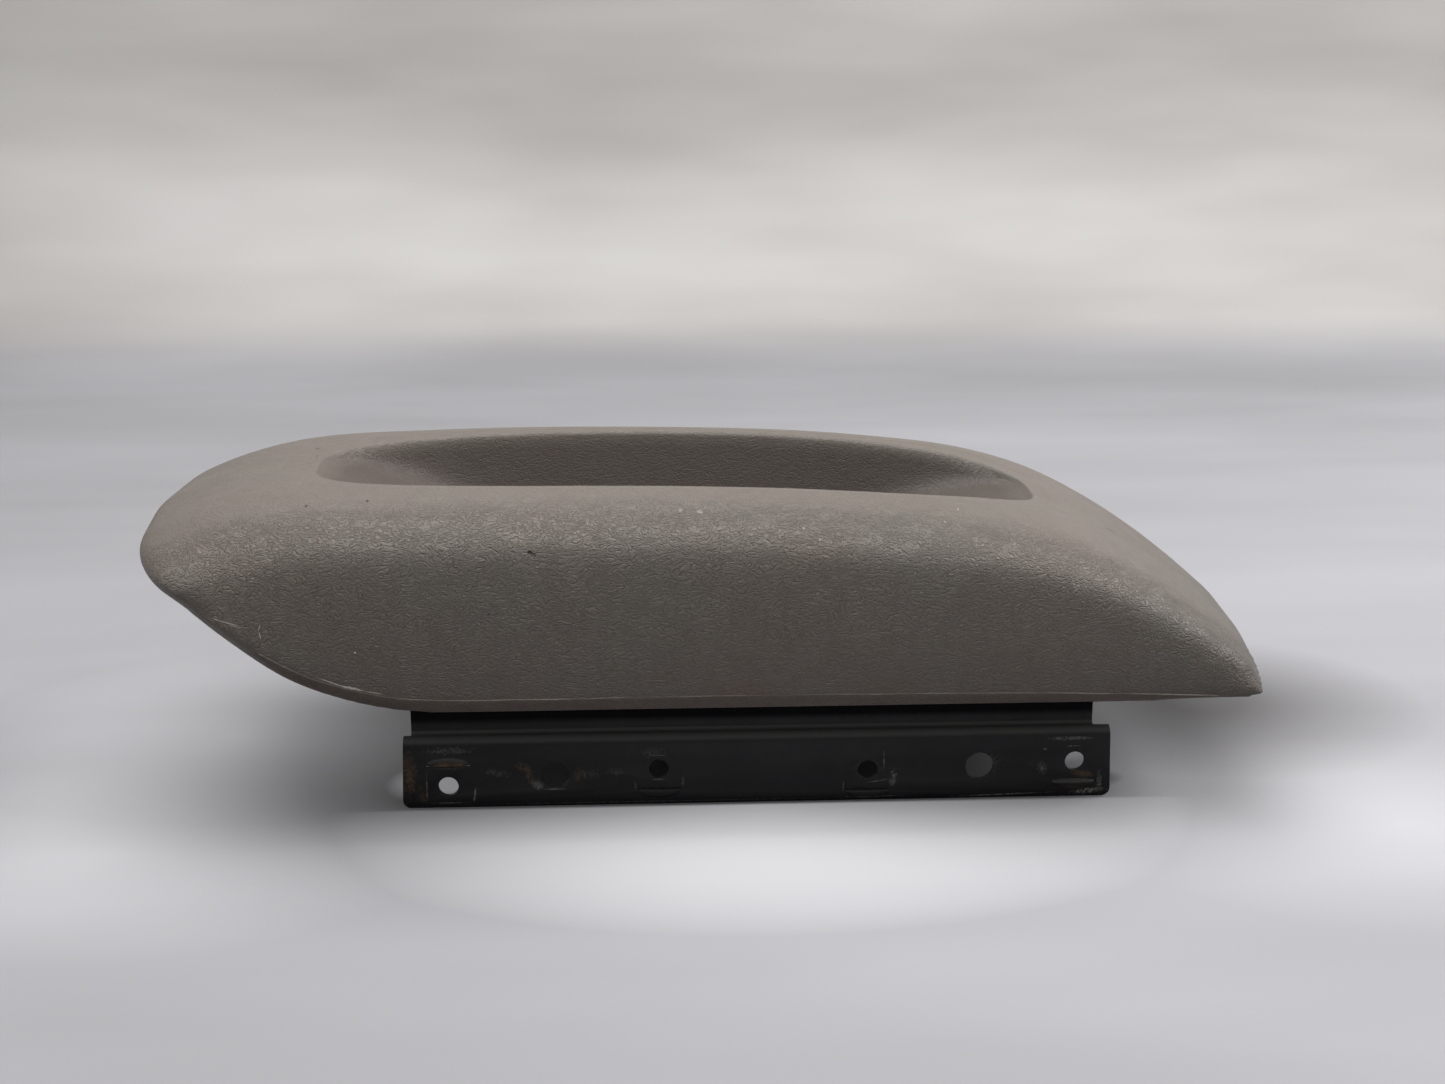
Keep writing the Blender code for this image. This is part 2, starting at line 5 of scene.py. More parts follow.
import bmesh
import bpy
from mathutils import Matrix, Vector


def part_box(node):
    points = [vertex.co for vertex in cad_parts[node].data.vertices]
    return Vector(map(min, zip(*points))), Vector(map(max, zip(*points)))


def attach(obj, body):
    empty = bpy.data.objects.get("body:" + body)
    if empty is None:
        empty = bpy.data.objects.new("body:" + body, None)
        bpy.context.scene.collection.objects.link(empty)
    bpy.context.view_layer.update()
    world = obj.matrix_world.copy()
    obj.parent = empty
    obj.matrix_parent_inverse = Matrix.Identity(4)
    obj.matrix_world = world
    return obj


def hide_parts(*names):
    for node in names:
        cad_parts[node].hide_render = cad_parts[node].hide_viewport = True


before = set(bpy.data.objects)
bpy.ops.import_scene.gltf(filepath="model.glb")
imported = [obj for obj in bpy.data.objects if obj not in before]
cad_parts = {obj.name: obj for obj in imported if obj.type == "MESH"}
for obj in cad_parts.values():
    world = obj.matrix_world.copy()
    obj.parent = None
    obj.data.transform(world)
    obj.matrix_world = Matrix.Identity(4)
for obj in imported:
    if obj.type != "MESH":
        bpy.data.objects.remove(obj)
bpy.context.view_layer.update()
scene = bpy.context.scene

MM = 0.001

# Camera
PHOTO_WIDTH = 1445
FOCAL_PIXELS = 1940.0
SENSOR = 36.0
CAMERA_DISTANCE = 0.700
CAMERA_ELEVATION = math.radians(16.0)
CAMERA_YAW = math.radians(2.68)
CAMERA_AIM = Vector((0.0082, 0.0, 0.0797))

# Places on the object
FLANGE_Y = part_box("bracket")[0].y
PAD_LOW, PAD_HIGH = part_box("armrest_pad")
PAD_BASE_Z = PAD_LOW.z

# Pad's even mesh, and the parts of it that are smoothed more: the crown, and the nose once again
PAD_VOXEL = 1.2 * MM
PAD_SMOOTHING = 3
CROWN_SMOOTHING = 36
CROWN_ABOVE_BAND = 7.0 * MM
TAIL_CROWN_ABOVE_BAND = 4.0 * MM
TAIL_END_X = 165.0 * MM
NOSE_END_X = -125.0 * MM

# Parting band round the pad's lower edge, and the fine bead on its upper edge
BAND_FACE_DEPTH = 4.0 * MM
BAND_START_X = -172.0 * MM
BAND_READ_X = (-165.0 * MM, 184.0 * MM)
BAND_EDGE = 0.8 * MM
BEAD_RADIUS = 0.3 * MM
BEAD_INSET = 0.32 * MM
BEAD_RISE = 0.5 * MM
BEAD_START_X = -152.0 * MM
BEAD_END_X = 172.0 * MM

# Where the grain grows from faint to full: away from the pad's middle line, and up from the low side
GRAIN_ACROSS = (50.0 * MM, 68.0 * MM)
GRAIN_UP = (60.0 * MM, 92.0 * MM)

# Pocket: the rim's outline, the rolled lip, and how its walls and end ramps go down from it
POCKET_CENTRE_X = -7.9 * MM
POCKET_HALF_LENGTH = 129.3 * MM
POCKET_HALF_WIDTH = 42.8 * MM
POCKET_POWER = 3.4
POCKET_FAR_POWER = 2.5
POCKET_LIP = 2.2 * MM
POCKET_WALL_SLOPE = 4.6
POCKET_END_TRIM = 3.0 * MM
POCKET_END_DROP = 3.0 * MM
POCKET_RAMP_SLOPE = 0.36
POCKET_RAMP_STEEPER = 0.8
POCKET_DEPTH = 32.3 * MM
POCKET_BLEND_POWER = 5
# Fall at which the pocket's painted shade is full
POCKET_SHADED_FALL = 0.18 * POCKET_DEPTH
# The pocket's surroundings, as shares of its outline; only the pad's upper part is looked at
POCKET_REACH = 1.045
POCKET_REACH_FADE = 0.03
RIM_REFINED = (0.93, 1.04)
RIM_READ = (1.05, 1.09)
CROWN_FROM_RIM = 1.06
UPPER_PART_Z = 70.0 * MM

# Stage: half the sheet's side, where it turns up and how high it goes
SHEET_HALF = 1.6
SHEET_CENTRE_Y = -0.9
SWEEP_Y = 0.7
SWEEP_RADIUS = 0.22
SWEEP_STEPS = 14
BACKDROP_RISE = 1.2


def linear(r, g, b):
    """Colour as read on screen, 0 to 255, to the values that shaders take."""
    out = []
    for c in (r / 255, g / 255, b / 255):
        out.append(c / 12.92 if c <= 0.04045 else ((c + 0.055) / 1.055) ** 2.4)
    return (*out, 1.0)


def link_object(name, mesh):
    piece = bpy.data.objects.new(name, mesh)
    scene.collection.objects.link(piece)
    return piece


def mesh_from(bm, name, smooth_angle=35.0):
    mesh = bpy.data.meshes.new(name)
    bm.to_mesh(mesh)
    bm.free()
    mesh.shade_smooth()
    mesh.set_sharp_from_angle(angle=math.radians(smooth_angle))
    return mesh


# Shader helpers
def add_node(tree, kind, **settings):
    node = tree.nodes.new(kind)
    for name, value in settings.items():
        setattr(node, name, value)
    return node


def math_node(tree, operation, a, b=None, clamp=False):
    node = add_node(tree, "ShaderNodeMath", operation=operation, use_clamp=clamp)
    for socket, value in zip(node.inputs, (a, b)):
        if value is None:
            continue
        if isinstance(value, (int, float)):
            socket.default_value = value
        else:
            tree.links.new(value, socket)
    return node.outputs[0]


def mix_colour(tree, factor, a, b):
    node = add_node(tree, "ShaderNodeMix", data_type="RGBA")
    for socket, value in ((node.inputs[0], factor), (node.inputs[6], a), (node.inputs[7], b)):
        if isinstance(value, (int, float, tuple)):
            socket.default_value = value
        else:
            tree.links.new(value, socket)
    return node.outputs[2]


def value_range(tree, value, from_low, from_high, to_low=0.0, to_high=1.0, smooth=False):
    node = add_node(tree, "ShaderNodeMapRange", interpolation_type="SMOOTHSTEP" if smooth else "LINEAR")
    tree.links.new(value, node.inputs[0])
    for socket, number in zip(node.inputs[1:5], (from_low, from_high, to_low, to_high)):
        socket.default_value = number
    return node.outputs[0]


def noise(tree, vector, scale, detail=2.0, roughness=0.5):
    node = add_node(tree, "ShaderNodeTexNoise")
    tree.links.new(vector, node.inputs["Vector"])
    node.inputs["Scale"].default_value = scale
    node.inputs["Detail"].default_value = detail
    node.inputs["Roughness"].default_value = roughness
    return node.outputs["Fac"]


def new_group(name, inputs, outputs):
    """An empty shader group with named sockets; returns the group and its input and output nodes."""
    tree = bpy.data.node_groups.new(name, "ShaderNodeTree")
    for label, kind, default in inputs:
        socket = tree.interface.new_socket(label, in_out="INPUT", socket_type=kind)
        socket.default_value = default
    for label, kind in outputs:
        tree.interface.new_socket(label, in_out="OUTPUT", socket_type=kind)
    start = tree.nodes.new("NodeGroupInput")
    end = tree.nodes.new("NodeGroupOutput")
    return tree, start, end


def use_group(tree, group, **values):
    node = add_node(tree, "ShaderNodeGroup", node_tree=group)
    for label, value in values.items():
        socket = node.inputs[label.replace("_", " ")]
        if isinstance(value, (int, float, tuple, Vector)):
            socket.default_value = value
        else:
            tree.links.new(value, socket)
    return node


def make_mark_group():
    """Mask of one mark: a soft-edged ellipse, turned about Y on the side view's plane."""
    tree, start, end = new_group(
        "mark",
        [("Vector", "NodeSocketVector", (0, 0, 0)), ("Centre", "NodeSocketVector", (0, 0, 0)),
         ("Turn", "NodeSocketFloat", 0.0), ("Half Size", "NodeSocketVector", (1, 1, 1)),
         ("Hardness", "NodeSocketFloat", 2.0), ("Ragged", "NodeSocketFloat", 0.0),
         ("Ragged Scale", "NodeSocketFloat", 900.0)],
        [("Mask", "NodeSocketFloat")])
    ragged = add_node(tree, "ShaderNodeTexNoise")
    ragged.inputs["Detail"].default_value = 3.0
    tree.links.new(start.outputs["Vector"], ragged.inputs["Vector"])
    tree.links.new(start.outputs["Ragged Scale"], ragged.inputs["Scale"])
    offset = add_node(tree, "ShaderNodeVectorMath", operation="SUBTRACT")
    tree.links.new(start.outputs["Vector"], offset.inputs[0])
    tree.links.new(start.outputs["Centre"], offset.inputs[1])
    turned = add_node(tree, "ShaderNodeVectorRotate", rotation_type="Y_AXIS")
    tree.links.new(offset.outputs[0], turned.inputs["Vector"])
    tree.links.new(start.outputs["Turn"], turned.inputs["Angle"])
    scaled = add_node(tree, "ShaderNodeVectorMath", operation="DIVIDE")
    tree.links.new(turned.outputs[0], scaled.inputs[0])
    tree.links.new(start.outputs["Half Size"], scaled.inputs[1])
    length = add_node(tree, "ShaderNodeVectorMath", operation="LENGTH")
    tree.links.new(scaled.outputs[0], length.inputs[0])
    wobble = math_node(tree, "MULTIPLY", math_node(tree, "SUBTRACT", ragged.outputs["Fac"], 0.5),
                       start.outputs["Ragged"])
    reach = math_node(tree, "ADD", length.outputs["Value"], wobble)
    inside = math_node(tree, "SUBTRACT", 1.0, reach)
    mask = math_node(tree, "MULTIPLY", inside, start.outputs["Hardness"], clamp=True)
    tree.links.new(mask, end.inputs["Mask"])
    return tree


MARK = make_mark_group()


def mark_mask(tree, vector, marks):
    """The strongest of several marks, in mm and degrees: (x, y, z, half x, half y, half z, turn down to the
    right, hardness, ragged, strength)."""
    total = None
    for x, y, z, half_x, half_y, half_z, turn, hardness, ragged, strength in marks:
        node = use_group(tree, MARK, Vector=vector, Centre=(x * MM, y * MM, z * MM),
                         Turn=math.radians(-turn), Half_Size=(half_x * MM, half_y * MM, half_z * MM),
                         Hardness=hardness, Ragged=ragged)
        mask = math_node(tree, "MULTIPLY", node.outputs["Mask"], strength)
        total = mask if total is None else math_node(tree, "MAXIMUM", total, mask)
    return total


def new_material(name):
    material = bpy.data.materials.new(name)
    material.use_nodes = True
    tree = material.node_tree
    shader = tree.nodes["Principled BSDF"]
    place = add_node(tree, "ShaderNodeTexCoord").outputs["Object"]
    return material, tree, shader, place


def make_grain_group():
    """Height of a worm-like leather grain: bent ridges of one scale with finer ones between them."""
    tree, start, end = new_group(
        "skin_grain",
        [("Vector", "NodeSocketVector", (0, 0, 0)), ("Scale", "NodeSocketFloat", 760.0)],
        [("Height", "NodeSocketFloat"), ("Pits", "NodeSocketFloat")])
    bender = add_node(tree, "ShaderNodeTexNoise")
    bender.inputs["Scale"].default_value = 120.0
    bender.inputs["Detail"].default_value = 1.0
    tree.links.new(start.outputs["Vector"], bender.inputs["Vector"])
    centred = add_node(tree, "ShaderNodeVectorMath", operation="SUBTRACT")
    tree.links.new(bender.outputs["Color"], centred.inputs[0])
    centred.inputs[1].default_value = (0.5, 0.5, 0.5)
    amount = add_node(tree, "ShaderNodeVectorMath", operation="SCALE")
    tree.links.new(centred.outputs[0], amount.inputs[0])
    amount.inputs["Scale"].default_value = 0.006
    bent = add_node(tree, "ShaderNodeVectorMath", operation="ADD")
    tree.links.new(start.outputs["Vector"], bent.inputs[0])
    tree.links.new(amount.outputs[0], bent.inputs[1])
    total = None
    for factor, share in ((1.0, 0.62), (1.9, 0.38)):
        stretched = add_node(tree, "ShaderNodeVectorMath", operation="MULTIPLY")
        tree.links.new(bent.outputs[0], stretched.inputs[0])
        stretched.inputs[1].default_value = (0.62 * factor, factor, 1.15 * factor)
        worms = add_node(tree, "ShaderNodeTexNoise")
        worms.inputs["Detail"].default_value = 0.6
        worms.inputs["Distortion"].default_value = 0.35
        tree.links.new(stretched.outputs[0], worms.inputs["Vector"])
        tree.links.new(start.outputs["Scale"], worms.inputs["Scale"])
        ridge = math_node(tree, "ABSOLUTE", math_node(tree, "SUBTRACT", worms.outputs["Fac"], 0.5))
        ridge = value_range(tree, ridge, 0.0, 0.1, 0.0, share, smooth=True)
        total = ridge if total is None else math_node(tree, "ADD", total, ridge)
    pits = value_range(tree, noise(tree, start.outputs["Vector"], 260.0, 3.0, 0.7), 0.62, 0.72)
    tree.links.new(total, end.inputs["Height"])
    tree.links.new(pits, end.inputs["Pits"])
    return tree


# Pad
# Dark nick, dots and a short scratch on the crown
PAD_DARK_MARKS = [
    (-56.8, -76.6, 98.9, 1.0, 2.0, 0.7, 15, 3, 1.2, 1.0),
    (-55.6, -76.8, 98.4, 0.9, 2.0, 0.35, 30, 3, 1.0, 0.8),
    (-70.4, -79.0, 79.2, 0.45, 2.0, 0.4, 0, 3, 0.8, 0.8),
    (-138.5, 22.2, 110.5, 0.5, 1.2, 1.0, 0, 3, 0.8, 0.7),
    (-136.8, 10.9, 110.6, 0.5, 1.2, 1.0, 0, 3, 0.8, 0.6),
    (-110.9, -52.1, 110.2, 0.5, 1.0, 1.0, 0, 3, 0.8, 0.7),
    (-130.6, -53.5, 109.2, 0.5, 1.0, 1.0, 0, 3, 0.8, 0.8),
    (144.5, -18.4, 87.5, 3.0, 1.5, 0.5, 28, 3, 0.8, 0.45)]
# Pale dots, flecks and scratches
PAD_LIGHT_MARKS = [
    (-113.4, -79.7, 67.2, 0.45, 2.0, 0.45, 0, 3, 0.6, 0.7),
    (-154.3, -79.8, 78.1, 4.8, 2.5, 0.22, 17, 3, 0.5, 0.8),
    (-150.8, -79.8, 76.6, 2.4, 2.5, 0.16, 14, 3, 0.5, 0.5),
    (-143.3, -79.4, 75.9, 0.22, 2.5, 1.3, 14, 3, 0.4, 0.8),
    (-143.2, -79.5, 73.4, 0.25, 2.5, 1.5, -14, 3, 0.4, 0.9),
    (-120.5, -79.8, 56.9, 6.5, 2.0, 0.3, 22, 3, 0.8, 0.75),
    (-114.8, -79.9, 55.2, 4.2, 2.0, 0.45, 14, 3, 0.9, 0.9),
    (-108.2, -79.9, 53.6, 4.0, 2.0, 0.22, 12, 3, 0.6, 0.6),
    (118.9, -12.3, 98.4, 0.38, 0.8, 0.45, 0, 3, 0.6, 0.5),
    (78.6, -61.2, 103.2, 0.38, 0.8, 0.45, 0, 3, 0.6, 0.5),
    (84.5, -51.2, 104.8, 0.38, 0.8, 0.45, 0, 3, 0.6, 0.5),
    (89.6, -71.2, 98, 0.38, 0.8, 0.45, 0, 3, 0.6, 0.5),
    (-2.1, -62.3, 107.9, 1.3, 1.8, 0.8, 30, 2, 1.0, 0.35),
    (-8.5, -61.4, 108.4, 0.9, 1.5, 0.8, 0, 2, 1.0, 0.3),
    (31.3, -69.5, 104.0, 0.5, 1.0, 0.6, 0, 3, 0.8, 0.6),
    (36.2, -73.6, 101.1, 0.5, 1.0, 0.6, 0, 3, 0.8, 0.45)]
# Faint reddish stains low on the side
PAD_STAINS = [
    (10.2, -79.9, 52.5, 17.0, 12.0, 4.5, 0, 1.2, 1.0, 0.5),
    (-15.8, -79.9, 56.4, 9.0, 12.0, 3.5, 0, 1.2, 1.0, 0.3),
    (60.0, -79.9, 53.0, 14.0, 12.0, 3.5, 0, 1.2, 1.0, 0.3)]


def make_skin():
    """Warm grey moulded skin: worm-like grain with painted shade in its furrows, uneven dullness, painted shade
    low down and in the pocket, and small marks.
    """
    material, tree, shader, place = new_material("moulded_skin")
    grain = use_group(tree, make_grain_group(), Vector=place)
    separate = add_node(tree, "ShaderNodeSeparateXYZ")
    tree.links.new(place, separate.inputs[0])
    patches = value_range(tree, noise(tree, place, 14.0, 3.0, 0.6), 0.35, 0.65)
    colour = mix_colour(tree, patches, linear(110, 104, 97), linear(112, 102, 95))
    clouds = value_range(tree, noise(tree, place, 55.0, 4.0, 0.65), 0.4, 0.75, 0.0, 0.3)
    colour = mix_colour(tree, clouds, colour, linear(100, 92, 86))
    # Painted shade: the skin darker towards the pad's lower edge
    painted_low_shade = value_range(tree, separate.outputs["Z"], PAD_BASE_Z - 0.01, PAD_BASE_Z + 0.05, 0.95, 0.0)
    colour = mix_colour(tree, painted_low_shade, colour, linear(70, 63, 58))
    # Painted shade in the pocket, deeper the further in a place is
    sunk = add_node(tree, "ShaderNodeAttribute", attribute_name="sunk").outputs["Fac"]
    colour = mix_colour(tree, math_node(tree, "MULTIPLY", sunk, 0.85), colour, linear(76, 67, 62))
    # Painted shade in the grain's furrows
    painted_furrow_shade = value_range(tree, grain.outputs["Height"], 0.0, 0.7, 0.3, 0.0)
    colour = mix_colour(tree, painted_furrow_shade, colour, linear(84, 77, 71))
    pits = math_node(tree, "MULTIPLY", grain.outputs["Pits"], 0.22)
    colour = mix_colour(tree, pits, colour, linear(80, 73, 67))
    colour = mix_colour(tree, mark_mask(tree, place, PAD_STAINS), colour, linear(86, 68, 62))
    band = add_node(tree, "ShaderNodeAttribute", attribute_name="band").outputs["Fac"]
    colour = mix_colour(tree, math_node(tree, "MULTIPLY", band, 0.85), colour, linear(76, 63, 56))
    light = mark_mask(tree, place, PAD_LIGHT_MARKS)
    colour = mix_colour(tree, light, colour, linear(196, 190, 180))
    dark = mark_mask(tree, place, PAD_DARK_MARKS)
    colour = mix_colour(tree, dark, colour, linear(24, 21, 19))
    tree.links.new(colour, shader.inputs["Base Color"])
    rough = value_range(tree, noise(tree, place, 40.0, 4.0, 0.6), 0.3, 0.7, 0.4, 0.52)
    tree.links.new(rough, shader.inputs["Roughness"])
    shader.inputs["Specular IOR Level"].default_value = 0.4
    relief = add_node(tree, "ShaderNodeBump")
    relief.inputs["Strength"].default_value = 0.9
    relief.inputs["Distance"].default_value = 0.0006
    off_middle = math_node(tree, "ABSOLUTE", separate.outputs["Y"])
    shoulder = value_range(tree, off_middle, *GRAIN_ACROSS, 0.25, 1.0, smooth=True)
    low = value_range(tree, separate.outputs["Z"], *GRAIN_UP, 0.6, 1.0, smooth=True)
    depth = math_node(tree, "MULTIPLY", grain.outputs["Height"], math_node(tree, "MULTIPLY", shoulder, low))
    tree.links.new(depth, relief.inputs["Height"])
    cut = add_node(tree, "ShaderNodeBump")
    cut.inputs["Strength"].default_value = 0.8
    cut.inputs["Distance"].default_value = 0.0005
    tree.links.new(math_node(tree, "SUBTRACT", light, dark), cut.inputs["Height"])
    tree.links.new(relief.outputs["Normal"], cut.inputs["Normal"])
    tree.links.new(cut.outputs["Normal"], shader.inputs["Normal"])
    return material


def pocket_radius(x, y):
    """1 on the pocket's rim, less inside it."""
    across = abs(x - POCKET_CENTRE_X) / POCKET_HALF_LENGTH
    return (across ** POCKET_POWER + (abs(y) / POCKET_HALF_WIDTH) ** POCKET_POWER) ** (1 / POCKET_POWER)


def line_through(points, step, pick):
    """One value for each step along x, picked from the points near it and evened out."""
    bins = {}
    for x, z in points:
        bins.setdefault(round(x / step), []).append(z)
    keys = sorted(bins)
    values = [pick(bins[key]) for key in keys]
    nearby = [values[max(i - 2, 0):i + 3] for i in range(len(values))]
    return [(key * step, sum(group) / len(group)) for key, group in zip(keys, nearby)]


def height_on(line, x):
    """Height at x on a line of points with rising x."""
    if x <= line[0][0]:
        return line[0][1]
    for (xa, za), (xb, zb) in zip(line, line[1:]):
        if x <= xb:
            return za + (zb - za) * (x - xa) / (xb - xa)
    return line[-1][1]


def band_line():
    """Heights of the pad's widest line along x."""
    widest = PAD_HIGH.y
    points = [(v.co.x, v.co.z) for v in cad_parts["armrest_pad"].data.vertices
              if abs(abs(v.co.y) - widest) < 0.05 * MM and BAND_READ_X[0] < v.co.x < BAND_READ_X[1]]
    return line_through(points, 8.0 * MM, min)


def wall_fall(inside):
    """How far the pocket's wall has gone down: a rolled lip, then a straight steep wall."""
    turn = math.atan(POCKET_WALL_SLOPE)
    roll = POCKET_LIP * math.sin(turn)
    if inside <= 0.0:
        return 0.0
    if inside < roll:
        return POCKET_LIP - math.sqrt(POCKET_LIP ** 2 - inside ** 2)
    return POCKET_LIP * (1.0 - math.cos(turn)) + (inside - roll) * POCKET_WALL_SLOPE


def sink_pocket(bm):
    """Refines the pocket's rim and sinks it: a rolled lip, steep side walls and a ramp at each end.
    The attribute "sunk" tells how far in a place is, for the painted shade inside the pocket."""
    half_length = POCKET_HALF_LENGTH - POCKET_END_TRIM
    near_rim = [edge for edge in bm.edges
                if all(v.co.z > UPPER_PART_Z
                       and RIM_REFINED[0] < pocket_radius(v.co.x, v.co.y) < RIM_REFINED[1] for v in edge.verts)]
    bmesh.ops.subdivide_edges(bm, edges=near_rim, cuts=2, use_grid_fill=True)
    rim_points = [(v.co.x, v.co.z) for v in bm.verts
                  if v.co.z > UPPER_PART_Z + 10.0 * MM and abs(v.co.y) > 10.0 * MM
                  and RIM_READ[0] < pocket_radius(v.co.x, v.co.y) < RIM_READ[1]]
    rim = line_through(rim_points, 4.0 * MM, lambda values: sum(values) / len(values))
    sunk = bm.verts.layers.float.new("sunk")
    for vert in bm.verts:
        x, y, z = vert.co
        radius = pocket_radius(x, y)
        if z < UPPER_PART_Z or radius >= POCKET_REACH:
            continue
        power = POCKET_POWER if y < 0.0 else POCKET_FAR_POWER
        share = min(abs(x - POCKET_CENTRE_X) / half_length, 1.0)
        across = min(abs(y) / POCKET_HALF_WIDTH, 1.0)
        wall = wall_fall(POCKET_HALF_WIDTH * (1.0 - share ** power) ** (1 / power) - abs(y))
        along = half_length * ((1.0 - across ** power) ** (1 / power) - share)
        slope = POCKET_RAMP_SLOPE + POCKET_RAMP_STEEPER * across * across
        ramp = 0.0
        if along > 0.0:
            ramp = POCKET_END_DROP * (1.0 - math.exp(-along / POCKET_END_DROP)) + slope * along
        fall = 0.0
        if wall > 1e-7 and ramp > 1e-7:
            parts = (wall, ramp, POCKET_DEPTH)
            fall = sum(part ** -POCKET_BLEND_POWER for part in parts) ** (-1 / POCKET_BLEND_POWER)
        blend = min(max((POCKET_REACH - radius) / POCKET_REACH_FADE, 0.0), 1.0)
        vert.co.z = z + (height_on(rim, x) - fall - z) * blend
        vert[sunk] = min(fall / POCKET_SHADED_FALL, 1.0)


def build_pad_skin(material):
    """The pad as one fine even mesh: the solid's shape remeshed and smoothed, with a sharper pocket."""
    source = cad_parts["armrest_pad"]
    bm = bmesh.new()
    bm.from_mesh(source.data)
    bmesh.ops.remove_doubles(bm, verts=bm.verts, dist=1e-6)
    mesh = mesh_from(bm, "pad_skin")
    mesh.materials.clear()
    pad = link_object("pad_skin", mesh)
    remesh = pad.modifiers.new("even_mesh", "REMESH")
    remesh.mode = "VOXEL"
    remesh.voxel_size = PAD_VOXEL
    remesh.use_smooth_shade = True
    bpy.context.view_layer.update()
    evaluated = pad.evaluated_get(bpy.context.evaluated_depsgraph_get())
    bm = bmesh.new()
    bm.from_mesh(evaluated.to_mesh())
    evaluated.to_mesh_clear()
    pad.modifiers.clear()
    line = band_line()
    crown = [v for v in bm.verts
             if v.co.z > height_on(line, v.co.x)
             + (CROWN_ABOVE_BAND if v.co.x < TAIL_END_X else TAIL_CROWN_ABOVE_BAND)
             and (pocket_radius(v.co.x, v.co.y) > CROWN_FROM_RIM or v.co.z < UPPER_PART_Z)]
    nose = [v for v in crown if v.co.x < NOSE_END_X]
    for verts, passes in ((bm.verts, PAD_SMOOTHING), (crown, CROWN_SMOOTHING), (nose, CROWN_SMOOTHING)):
        for _ in range(passes):
            bmesh.ops.smooth_vert(bm, verts=verts, factor=0.5,
                                  use_axis_x=True, use_axis_y=True, use_axis_z=True)
    sink_pocket(bm)
    band = bm.verts.layers.float.new("band")
    for vert in bm.verts:
        below = height_on(line, vert.co.x) - vert.co.z
        on_side = abs(vert.co.y) > PAD_HIGH.y - BAND_FACE_DEPTH and vert.co.x > BAND_START_X
        vert[band] = min(max(below / BAND_EDGE + 0.5, 0.0), 1.0) if on_side else 0.0
    fine = mesh_from(bm, "pad_skin", 180.0)
    pad.data = fine
    fine.materials.append(material)
    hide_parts("armrest_pad")
    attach(pad, "root")


def make_bead_skin():
    """The moulding's parting line: the same skin, paler where it is rubbed."""
    material, tree, shader, place = new_material("rubbed_skin")
    rubbed = value_range(tree, noise(tree, place, 45.0, 5.0, 0.7), 0.42, 0.68)
    tree.links.new(mix_colour(tree, rubbed, linear(88, 79, 73), linear(142, 133, 124)),
                   shader.inputs["Base Color"])
    shader.inputs["Roughness"].default_value = 0.5
    return material


def build_parting_lines(material):
    """A fine bead along each side, on the pad's widest line."""
    line = band_line()
    for side, label in ((-1, "near"), (1, "far")):
        curve = bpy.data.curves.new(f"parting_line_{label}", "CURVE")
        curve.dimensions = "3D"
        curve.bevel_depth = BEAD_RADIUS
        curve.bevel_resolution = 2
        curve.use_fill_caps = True
        spline = curve.splines.new("POLY")
        places = [(x, z) for x, z in line if BEAD_START_X < x < BEAD_END_X]
        spline.points.add(len(places) - 1)
        for point, (x, z) in zip(spline.points, places):
            point.co = (x, side * (PAD_HIGH.y - BEAD_INSET), z + BEAD_RISE, 1.0)
        holder = bpy.data.objects.new(f"parting_line_{label}", curve)
        scene.collection.objects.link(holder)
        bpy.context.view_layer.update()
        solid = holder.evaluated_get(bpy.context.evaluated_depsgraph_get())
        bead = link_object(f"parting_bead_{label}", bpy.data.meshes.new_from_object(solid))
        bpy.data.objects.remove(holder)
        bead.data.shade_smooth()
        bead.data.materials.clear()
        bead.data.materials.append(material)
        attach(bead, "root")


